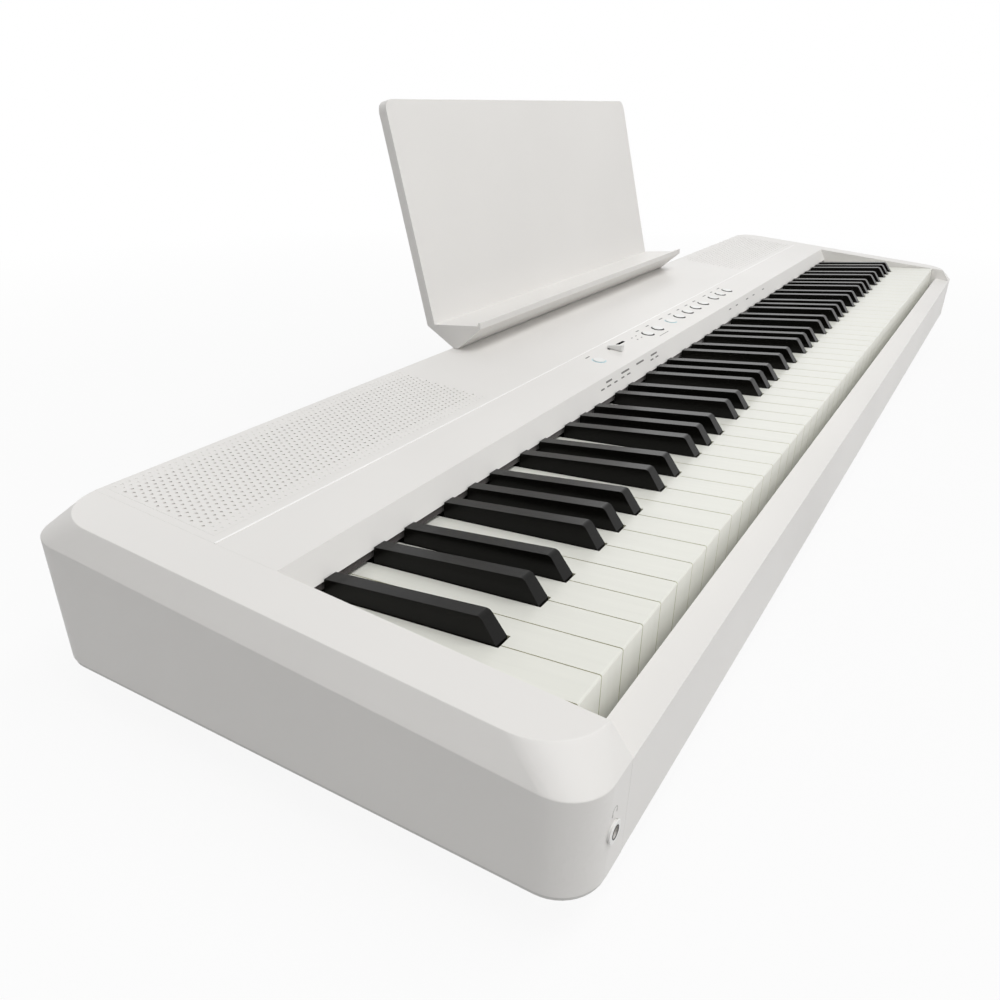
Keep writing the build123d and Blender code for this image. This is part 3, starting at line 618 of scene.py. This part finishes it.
def grille_cell(dimple):
    """A cell with a hole through it, or with a dimple."""
    cell = sheet_of(PITCH_X, PITCH_Y)
    with editing(cell):
        bpy.ops.mesh.subdivide(number_cuts=1)
        choose(cell, "VERT", lambda point: point.co.length < NEAR)
        bpy.ops.mesh.delete(type="VERT")
        bpy.ops.mesh.primitive_circle_add(vertices=HOLE_POINTS, radius=HOLE_RADIUS, fill_type="NOTHING")
        bpy.ops.mesh.select_all(action="SELECT")
        bpy.ops.mesh.bridge_edge_loops()
        if dimple:
            reach = HOLE_RADIUS + NEAR
            choose(cell, "EDGE", lambda edge: all(point.co.length < reach for point in edge.verts))
            bpy.ops.mesh.extrude_edges_move(TRANSFORM_OT_translate={"value": (0, 0, -DIMPLE_DEPTH)})
            bpy.ops.mesh.edge_face_add()
    return face_up(cell)


def grille_rows(dimple, columns, rows, first, step):
    """Rows of one cell, from one row of the field on, a number of rows apart."""
    cell = grille_cell(dimple)
    repeat(cell, columns, (PITCH_X, 0, 0))
    repeat(cell, rows, (0, step * PITCH_Y, 0))
    start = (-(columns - 1) / 2 * PITCH_X, (first - MIDDLE_ROW) * PITCH_Y, 0)
    return settle(cell, Matrix.Translation(start))


blocks = [
    grille_rows(True, COLUMNS, rows=2, first=0, step=18),
    grille_rows(True, COLUMNS - 1, rows=2, first=1, step=16),
    grille_rows(False, COLUMNS, rows=8, first=2, step=2),
    grille_rows(False, COLUMNS - 1, rows=7, first=3, step=2),
]
print("faces in the rows of holes:", [len(block.data.polygons) for block in blocks])

# %% [markdown]
# The shorter rows leave half a cell open at each end. A plain half cell closes it, with one more point on
# its inner side so that it welds. The edge of the field is then pulled out to the outline of the plate,
# side by side, and a solidify gives the sheet its thickness.

# %% The grille plates
GRILLE_THICKNESS = 0.45 * MM
GRILLE_MIDDLE = 468.0
GRILLE_DEPTH = 116.3
GRILLE_HALF = (137.95 * MM, 43.35 * MM)
FIELD_SHIFT = -0.5
HOLE_TURN = math.radians(50)
for side in (-1, 1):
    half = sheet_of(PITCH_X / 2, PITCH_Y)
    with editing(half):
        choose(half, "EDGE", lambda edge: all(point.co.x * side < -NEAR for point in edge.verts))
        bpy.ops.mesh.subdivide(number_cuts=1)
    repeat(half, MIDDLE_ROW, (0, 2 * PITCH_Y, 0))
    end = (side * (COLUMNS - 0.5) / 2 * PITCH_X, (1 - MIDDLE_ROW) * PITCH_Y, 0)
    blocks.append(settle(half, Matrix.Translation(end)))
plate = settle(gather(blocks, "speaker_grille_left"), Matrix.Translation((0, FIELD_SHIFT * MM, 0)))
with editing(plate):
    bpy.ops.mesh.select_all(action="SELECT")
    bpy.ops.mesh.remove_doubles(threshold=WELD)
    for axis, side in ((0, -1), (0, 1), (1, -1), (1, 1)):
        rim = max(side * point.co[axis] for point in bmesh.from_edit_mesh(plate.data).verts)
        choose(plate, "EDGE", lambda edge: all(side * point.co[axis] > rim - NEAR for point in edge.verts))
        pull = [0, 0, 0]
        pull[axis] = side * (GRILLE_HALF[axis] - rim)
        bpy.ops.mesh.extrude_edges_move(TRANSFORM_OT_translate={"value": pull})
thicken(face_up(plate), GRILLE_THICKNESS, -1)
bpy.ops.object.shade_smooth_by_angle(angle=HOLE_TURN)
twin = settle(copy_of(plate), deck_spot(GRILLE_MIDDLE, GRILLE_DEPTH))
settle(plate, deck_spot(-GRILLE_MIDDLE, GRILLE_DEPTH))
grilles = fit(gather([twin, plate], "grille_plates"), "case", "case", finishes["case"], "speaker_grilles")
print("faces on the grille plates:", len(grilles.data.polygons))

# %% [markdown]
# A stiff woven screen lies under the rows of holes and keeps dust off the speakers. It is why the holes
# look grey from above and never show what is under them.

# %% Dust screens
SCREEN_DROP = 0.55
SCREEN_THICKNESS = 0.4 * MM
SCREEN_ROWS = ROWS - 3
screens = []
for side in (-1, 1):
    screen = sheet_of(COLUMNS * PITCH_X, SCREEN_ROWS * PITCH_Y)
    with editing(screen):
        bpy.ops.mesh.subdivide(number_cuts=3)
    thicken(screen, SCREEN_THICKNESS, -1)
    screens.append(settle(screen, deck_spot(side * GRILLE_MIDDLE, GRILLE_DEPTH + FIELD_SHIFT, -SCREEN_DROP)))
fit(gather(screens, "dust_screens"), "case", "speaker", finishes["screen"])
print("dust screens:", len(screens))

# %% [markdown]
# Each button stands in a wider hole with a dark ring round it. The ring is partly black trim and partly
# painted shade for the deep gap round the button. It is a flat band made thick downwards. The rings of
# the buttons that are switched on are lit from below in a pale blue.

# %% Button rings
RING_INNER = 5.8 * MM
RING_OUTER = 6.78 * MM
RING_POINTS = 40
RING_THICKNESS = 1.2 * MM
RING_DROP = 0.02
BUTTON_LINE = 47.1
button_x = {}
for node in frame["nodes"]:
    if node.endswith("_button"):
        low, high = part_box(node)
        button_x[node] = (low[0] + high[0]) / 2 / MM
washer = thicken(band(RING_INNER, RING_OUTER, RING_POINTS), RING_THICKNESS, -1)
bpy.ops.object.shade_smooth_by_angle(angle=SMOOTH_TURN)
dark_rings = []
lit_rings = []
for node, x in button_x.items():
    ring = settle(copy_of(washer), deck_spot(x, BUTTON_LINE, -RING_DROP))
    (lit_rings if node in LIT_BUTTONS else dark_rings).append(ring)
bpy.data.objects.remove(washer)
# the dark rings are partly painted shade, for the shade deep in the gap round each button
fit(gather(dark_rings, "button_rings"), "case", "socket", finishes["trim_and_shade"])
fit(gather(lit_rings, "button_rings_lit"), "case", "socket", glow)
print("button rings:", len(dark_rings), "dark and", len(lit_rings), "lit")

# %% [markdown]
# The volume slider runs in a slot whose walls are painted dark, as painted shade for the depth of the slot.
# The walls belong to the control strip, so those faces of its softened copy simply get the dark trim finish.
# Faces are found by their place and by a normal that lies in the deck.

# %% Dark slot walls, painted shade
SLOT_MIDDLE = (-127.0 * MM, 54.7 * MM)
SLOT_HALF = (18.3 * MM, 2.0 * MM)
SLOT_LEAN = 0.6


def in_slot(face):
    """Whether a face is a wall of the slider slot."""
    beside = [abs(face.center[axis] - SLOT_MIDDLE[axis]) < SLOT_HALF[axis] for axis in (0, 1)]
    return all(beside) and abs(face.normal.z) < SLOT_LEAN


# painted shade: the slot walls are painted dark for the shade inside the slot
print("dark faces in the slot:", paint(soft["control_strip"], finishes["trim_and_shade"], in_slot))

# %% [markdown]
# A fine bead closes the seam between the control strip and the panel behind it, and its whiter finish is a
# painted highlight along the seam. It is a long sheet with its upper edges rounded, and it stands just
# proud of the deck.

# %% Seam bead
PANEL_WIDTH = 2 * 611.3 * MM
SEAM_LINE = 66.7
BEAD_WIDTH = 1.1 * MM
BEAD_THICKNESS = 0.5 * MM
BEAD_ROUND = 0.12 * MM
bead = thicken(sheet_of(PANEL_WIDTH, BEAD_WIDTH), BEAD_THICKNESS, 0)
round_top(bead, above=0, width=BEAD_ROUND, steps=2)
bead.name = "seam_bead"
# the bead's whiter finish is a painted highlight
fit(settle(bead, deck_spot(0, SEAM_LINE)), "case", "case", finishes["bead"])
print("bead faces:", len(bead.data.polygons))

# %% [markdown]
# Printed marks show what the controls do. Here they are plain dashes: a thin sheet with cut corners and a
# little thickness. They lie on the deck by the buttons, and on the sloping fascia.

# %% Printed marks on the deck
INK = 0.06 * MM
CORNER_SHARE = 0.3


def dash(length, tall, place):
    """A printed dash in its place, its size in millimetres."""
    mark = sheet_of(length * MM, tall * MM)
    with editing(mark):
        bpy.ops.mesh.select_all(action="SELECT")
        bpy.ops.mesh.bevel(offset=tall * MM * CORNER_SHARE, affect="VERTICES")
    thicken(mark, INK, 1)
    return settle(mark, place)


LABEL_LINE = 58.6
LABEL_LENGTHS = (7.0, 8.2, 9.4)
LABEL_TALL = 1.4
GROUP_LINE = (24.0, 0.7)
GROUP_PLACE = (-52.8, 35.0)
LEVEL_DASH = (3.2, 1.1)
LEVEL_X = (-93.0, -83.0)
LEVEL_Y = (53.0, 47.0)
marks = []
for count, x in enumerate(button_x.values()):
    marks.append(dash(LABEL_LENGTHS[count % len(LABEL_LENGTHS)], LABEL_TALL, deck_spot(x, LABEL_LINE)))
marks.append(dash(*GROUP_LINE, deck_spot(*GROUP_PLACE)))
marks += [dash(*LEVEL_DASH, deck_spot(x, y)) for x in LEVEL_X for y in LEVEL_Y]
fit(gather(marks, "deck_marks"), "case", "control", finishes["print"])
print("marks on the deck:", len(marks))

# %% [markdown]
# The fascia falls steeply from the control strip to the keys. Its marks are laid out flat too: each row
# has a distance down from the crease, a height, and the place along the keys and the length of each mark.

# %% Printed marks on the fascia
FASCIA_FALL, FASCIA_RUN = 15.1, 8.3
FASCIA_TILT = math.atan2(FASCIA_FALL, FASCIA_RUN)
FASCIA_CREASE = Vector((0, 23.6 * MM, 114.05 * MM))
UPPER_ROW = ((-216.2, 12.2), (-181.5, 17.3), (-147.5, 17.3), (-113.7, 15.2))
LOWER_ROW = (
    (-232.3, 7.0), (-219.4, 8.0), (-205.3, 7.0), (-190.2, 6.5), (-177.2, 7.5), (-122.0, 7.0), (-109.3, 7.0),
)
RIGHT_ROW = ((123.6, 8.0), (150.0, 8.0), (192.1, 9.0), (220.0, 8.0), (263.5, 8.0))
FASCIA_ROWS = ((4.5, 1.5, UPPER_ROW), (8.2, 1.2, LOWER_ROW), (5.9, 1.1, RIGHT_ROW))
on_fascia = Matrix.Translation(FASCIA_CREASE) @ Matrix.Rotation(FASCIA_TILT, 4, "X")
marks = []
for down, tall, row in FASCIA_ROWS:
    for x, length in row:
        marks.append(dash(length, tall, on_fascia @ Matrix.Translation((x * MM, -down * MM, 0))))
fit(gather(marks, "fascia_marks"), "case", "control", finishes["print"])
print("marks on the fascia:", len(marks))

# %% [markdown]
# Behind the tails of the keys, a dark felt-faced strip hangs under the edge of the fascia and closes the
# view into the action. It is a long bar: a sheet made thick upwards, with its long edges rounded.

# %% Slot seal
SEAL_DEPTH = 1.6 * MM
SEAL_HEIGHT = 5.2 * MM
SEAL_ROUND = 0.3 * MM
SEAL_PLACE = (0, 17.0 * MM, 93.7 * MM)
seal = thicken(sheet_of(PANEL_WIDTH, SEAL_DEPTH), SEAL_HEIGHT, 1)
with editing(seal):
    choose(seal, "EDGE", lambda edge: abs(edge.verts[0].co.x - edge.verts[1].co.x) > SEAL_HEIGHT)
    bpy.ops.mesh.bevel(offset=SEAL_ROUND, segments=2)
seal.name = "slot_seal"
settle(seal, Matrix.Translation(SEAL_PLACE))
fit(seal, "case", "felt", finishes["seal"])
print("slot seal faces:", len(seal.data.polygons))

# %% [markdown]
# The headphone socket has a white ring, whose flange is drawn in here to a slim one. Round the mouth of
# the bore lies a dark lip, a dark disc closes the bore, and a brass contact shows just inside.

# %% Headphone socket
mount_at = {mount["name"]: Vector(mount["pos_m"]) for mount in record["mounts"]}
JACK = mount_at["phones_socket"]
FLANGE_EDGE = 6.0 * MM
FLANGE_SHARE = 0.78
LIP = (2.7 * MM, 3.3 * MM, 32)
LIP_PROUD = 0.15 * MM
DISC = (0.2 * MM, 3.1 * MM, 24)
DISC_DEPTH = 3.2 * MM
DISC_THICKNESS = 0.6 * MM
CONTACT = (2.3 * MM, 2.65 * MM, 24)
CONTACT_DEPTH = 1.4 * MM
CONTACT_THICKNESS = 0.5 * MM
facing = Matrix.Rotation(math.radians(90), 4, "X")


def in_jack(depth):
    """A place on the axis of the headphone socket, facing the front."""
    return Matrix.Translation(JACK + Vector((0, depth, 0))) @ facing


flange = soft["phones_jack"]
with editing(flange):
    choose(flange, "VERT", lambda point: math.hypot(point.co.x - JACK.x, point.co.z - JACK.z) > FLANGE_EDGE)
    bpy.ops.transform.resize(value=(FLANGE_SHARE, 1.0, FLANGE_SHARE), center_override=JACK)
lip = settle(thicken(band(*LIP), LIP_PROUD, 1), in_jack(0))
disc = settle(thicken(band(*DISC), DISC_THICKNESS, -1), in_jack(DISC_DEPTH))
fit(gather([lip, disc], "jack_bore"), "case", "socket", finishes["socket"])
contact = settle(thicken(band(*CONTACT), CONTACT_THICKNESS, -1), in_jack(CONTACT_DEPTH))
contact.name = "jack_contact"
fit(contact, "case", "shaft", finishes["brass"])
print("headphone socket at", [round(c, 4) for c in JACK])

# %% [markdown]
# Over the socket is a small picture of headphones: half a band and two pads. The wall has a draft, so a
# ray finds the wall, and the mark is turned to the wall's own normal.

# %% Headphone picture
ARC = (2.1 * MM, 2.6 * MM, 24)
PICTURE_RISE = 10.8 * MM
PAD = (1.1, 2.0)
PAD_X = (-2.2, 2.2)
PAD_DROP = 0.9
BEFORE_WALL = 0.1
to_back = Vector((0, 1, 0))
upright = Vector((0, 0, 1))


def on_wall(node, start, heading, up):
    """The place on a softened node that a ray meets: x to the side, y up the wall, z out of it."""
    bpy.context.view_layer.update()
    _, spot, normal, _ = soft[node].ray_cast(start, heading)
    side = up.cross(normal).normalized()
    return Matrix.Translation(spot) @ Matrix((side, normal.cross(side), normal)).transposed().to_4x4()


arc = band(*ARC)
with editing(arc):
    choose(arc, "VERT", lambda point: point.co.y < -NEAR)
    bpy.ops.mesh.delete(type="VERT")
thicken(arc, INK, 1)
picture = on_wall("left_end_block", JACK + Vector((0, -BEFORE_WALL, PICTURE_RISE)), to_back, upright)
settle(arc, picture)
pads = [dash(*PAD, picture @ Matrix.Translation((x * MM, -PAD_DROP * MM, 0))) for x in PAD_X]
fit(gather([arc] + pads, "phones_mark"), "case", "control", finishes["print_pale"])
print("pads on the picture:", len(pads))

# %% [markdown]
# The pan is held by screws from below, and the back wall by screws from behind. A screw head is a low
# cylinder with a rounded rim. Its top is inset, and the inset points between the four arms of the driver
# cross are drawn in, so that pushing the face down leaves a cross.

# %% One screw head
SCREW_RADIUS = 3.2 * MM
SCREW_HEIGHT = 1.4 * MM
SCREW_POINTS = 16
SCREW_ROUND = 0.6 * MM
CROSS_INSET = 0.5 * MM
CROSS_WAIST = (0.36, 0.36, 1.0)
CROSS_DEPTH = 0.9 * MM
SCREW_TURN = math.radians(35)
LEVEL = 0.99
bpy.ops.object.select_all(action="DESELECT")
bpy.ops.mesh.primitive_cylinder_add(vertices=SCREW_POINTS, radius=SCREW_RADIUS, depth=SCREW_HEIGHT)
screw = settle(bpy.context.active_object, Matrix.Translation((0, 0, SCREW_HEIGHT / 2)))
round_top(screw, above=SCREW_HEIGHT - NEAR, width=SCREW_ROUND, steps=2)


def on_cross(face):
    """Whether a face is the one in the middle of the top."""
    in_middle = face.calc_center_median().length < SCREW_HEIGHT + NEAR
    return face.normal.z > LEVEL and in_middle and len(face.verts) > 4


with editing(screw):
    choose(screw, "FACE", lambda face: face.normal.z > LEVEL)
    bpy.ops.mesh.inset(thickness=CROSS_INSET)
    inset = [point for point in bmesh.from_edit_mesh(screw.data).verts if point.select]
    waist = [point.index for point in inset if min(abs(point.co.x), abs(point.co.y)) > NEAR]
    choose(screw, "VERT", lambda point: point.index in waist)
    bpy.ops.transform.resize(value=CROSS_WAIST, center_override=(0, 0, SCREW_HEIGHT))
    choose(screw, "FACE", on_cross)
    bpy.ops.mesh.extrude_region_move(TRANSFORM_OT_translate={"value": (0, 0, -CROSS_DEPTH)})
bpy.ops.object.shade_smooth_by_angle(angle=SCREW_TURN)
print("faces on a screw:", len(screw.data.polygons))

# %% [markdown]
# The screws stand in two rows under the pan and in one row across the back wall. A ray finds the wall
# under each.

# %% All screws
PAN_X = (-600, -420, -220, -40, 160, 340, 540)
PAN_Y = (-130, 130)
BACK_X = (-580, -300, 0, 300, 580)
BACK_Z = 46.0
BELOW_PAN = -0.05
BEHIND_BACK = 0.4
places = []
for x in PAN_X:
    for y in PAN_Y:
        places.append(on_wall("bottom_pan", Vector((x * MM, y * MM, BELOW_PAN)), upright, to_back))
for x in BACK_X:
    places.append(on_wall("rear_panel", Vector((x * MM, BEHIND_BACK, BACK_Z * MM)), -to_back, upright))
screws = [settle(copy_of(screw), place) for place in places]
bpy.data.objects.remove(screw)
fit(gather(screws, "case_screws"), "case", "shaft", finishes["shaft"])
print("screws:", len(screws))

# %% [markdown]
# Each round socket at the back is held by a ring nut. The two data ports get the thin tongue that carries
# their contacts. The places of the nuts, and the height and depth of the tongues, come from the mounts of
# the record.

# %% Rear socket fittings
ROUND_SOCKETS = ("power_inlet", "pedal_socket_left", "pedal_socket_right", "line_out_left", "line_out_right")
NUT = (3.4 * MM, 5.2 * MM, 12)
NUT_HEIGHT = 1.1 * MM
NUT_ROUND = 0.25 * MM
PORT_X = (202.0, 228.0)
TONGUE = (8.0 * MM, 1.6 * MM)
TONGUE_LENGTH = 2.4 * MM
TONGUE_ROUND = 0.3 * MM
TONGUE_DEPTH = 2.8 * MM
backwards = Matrix.Rotation(math.radians(-90), 4, "X")
nuts = []
for name in ROUND_SOCKETS:
    nut = thicken(band(*NUT), NUT_HEIGHT, 1)
    round_top(nut, above=NUT_HEIGHT - NEAR, width=NUT_ROUND, steps=1)
    nuts.append(settle(nut, Matrix.Translation(mount_at[name]) @ backwards))
fit(gather(nuts, "socket_nuts"), "case", "shaft", finishes["shaft"])
tongues = []
line_out = mount_at["line_out_left"]
for x in PORT_X:
    tongue = thicken(sheet_of(*TONGUE), TONGUE_LENGTH, 1)
    round_top(tongue, above=TONGUE_LENGTH - NEAR, width=TONGUE_ROUND, steps=1)
    place = Vector((x * MM, line_out.y - TONGUE_DEPTH, line_out.z))
    tongues.append(settle(tongue, Matrix.Translation(place) @ backwards))
fit(gather(tongues, "port_tongues"), "case", "socket", finishes["control"])
print("nuts:", len(nuts), "tongues:", len(tongues))

# %% [markdown]
# The camera stands where the photograph was taken: low over the bass end, looking along the keys, with a
# wide lens. Its place and its three angles, in degrees, were solved from the key edges and the case
# corners.

# %% Camera
PITCH = 64.68962
ROLL = -1.21817
HEADING = -59.22209
EYE = Vector((-0.8762656, -0.2576372, 0.3311245))
lens = bpy.data.cameras.new("camera")
lens.sensor_fit = "HORIZONTAL"
lens.sensor_width = 36.0
lens.lens = 31.0394
lens.clip_start = 0.01
camera = bpy.data.objects.new("camera", lens)
bpy.context.scene.collection.objects.link(camera)
turn = Euler([math.radians(angle) for angle in (PITCH, ROLL, HEADING)]).to_matrix().to_4x4()
camera.matrix_world = Matrix.Translation(EYE) @ turn
bpy.context.scene.camera = camera
print("lens:", lens.lens)

# %% [markdown]
# The world is even and pale. Camera, glossy and transmission rays see it as plain white.

# %% World
WORLD_LEVEL = 0.31
scene = bpy.context.scene
scene.view_settings.view_transform = "Standard"
world = bpy.data.worlds.new("studio")
scene.world = world
world.use_nodes = True


def seen_directly(tree):
    """A value that is 1 for camera, glossy and transmission rays, and 0 for light on the object."""
    rays = tree.nodes.new("ShaderNodeLightPath")
    seen = rays.outputs["Is Camera Ray"]
    for kind in ("Is Glossy Ray", "Is Transmission Ray"):
        either = tree.nodes.new("ShaderNodeMath")
        either.operation = "MAXIMUM"
        tree.links.new(seen, either.inputs[0])
        tree.links.new(rays.outputs[kind], either.inputs[1])
        seen = either.outputs["Value"]
    return seen


sky = world.node_tree
background = sky.nodes["Background"]
background.inputs["Color"].default_value = (1.0, 1.0, 1.0, 1.0)
level = sky.nodes.new("ShaderNodeMapRange")
level.inputs["To Min"].default_value = WORLD_LEVEL
level.inputs["To Max"].default_value = 1.0
sky.links.new(seen_directly(sky), level.inputs["Value"])
sky.links.new(level.outputs["Result"], background.inputs["Strength"])
print("world level:", WORLD_LEVEL)

# %% [markdown]
# The lamps are those of a plain studio: a large soft box high in front, a weak one lower in front at the
# bass end, another beyond the treble end that shows in the gloss of the black keys, and one behind for
# the back wall.


# %% Lamps
def soft_box(name, place, aim, size, power):
    """A large rectangular lamp at a place, turned to a point."""
    lamp = bpy.data.lights.new(name, "AREA")
    lamp.shape = "RECTANGLE"
    lamp.size, lamp.size_y = size
    lamp.energy = power
    holder = bpy.data.objects.new(name, lamp)
    scene.collection.objects.link(holder)
    holder.location = place
    holder.rotation_euler = (Vector(aim) - Vector(place)).to_track_quat("-Z", "Y").to_euler()


soft_box("high_front", (-0.25, -0.95, 2.4), aim=(-0.05, 0.0, 0.1), size=(2.8, 1.0), power=43.0)
soft_box("front", (-1.0, -2.1, 1.6), aim=(-0.3, 0.0, 0.15), size=(2.0, 1.0), power=10.0)
soft_box("treble", (3.0, 1.0, 1.5), aim=(0.0, 0.0, 0.1), size=(1.6, 1.2), power=5.0)
soft_box("rear", (0.3, 2.2, 0.9), aim=(0.0, 0.1, 0.1), size=(1.6, 0.6), power=6.0)

# %% [markdown]
# The floor is pale paper. To the camera it is mostly plain white, with enough of the lit paper mixed in
# near the piano to keep its shadow. Further out it fades to plain white, so that no horizon shows.

# %% Floor
FLOOR_SIZE = 30.0
PLAIN_SHARE = 0.9
SHADOW_REACH = (0.5, 1.6)
bpy.ops.object.select_all(action="DESELECT")
bpy.ops.mesh.primitive_plane_add(size=FLOOR_SIZE, location=(0, 0, 0))
floor = bpy.context.active_object
floor.name = "floor"
paper, tree, shader, place = new_finish("floor_paper")
blend_tones(tree, shader, noise(tree, place, scale=2.0), tone(216, 216, 216), tone(220, 220, 220))
shader.inputs["Roughness"].default_value = 0.9
white = tree.nodes.new("ShaderNodeEmission")
white.inputs["Strength"].default_value = 1.0
distance = tree.nodes.new("ShaderNodeVectorMath")
distance.operation = "LENGTH"
tree.links.new(place, distance.inputs[0])
fade = tree.nodes.new("ShaderNodeMapRange")
fade.inputs["From Min"].default_value, fade.inputs["From Max"].default_value = SHADOW_REACH
fade.inputs["To Min"].default_value = PLAIN_SHARE
fade.inputs["To Max"].default_value = 1.0
tree.links.new(distance.outputs["Value"], fade.inputs["Value"])
share = tree.nodes.new("ShaderNodeMath")
share.operation = "MULTIPLY"
tree.links.new(seen_directly(tree), share.inputs[0])
tree.links.new(fade.outputs["Result"], share.inputs[1])
mix = tree.nodes.new("ShaderNodeMixShader")
tree.links.new(share.outputs["Value"], mix.inputs["Fac"])
tree.links.new(shader.outputs["BSDF"], mix.inputs[1])
tree.links.new(white.outputs["Emission"], mix.inputs[2])
tree.links.new(mix.outputs["Shader"], tree.nodes["Material Output"].inputs["Surface"])
floor.data.materials.append(paper)
print("floor faces:", len(floor.data.polygons))
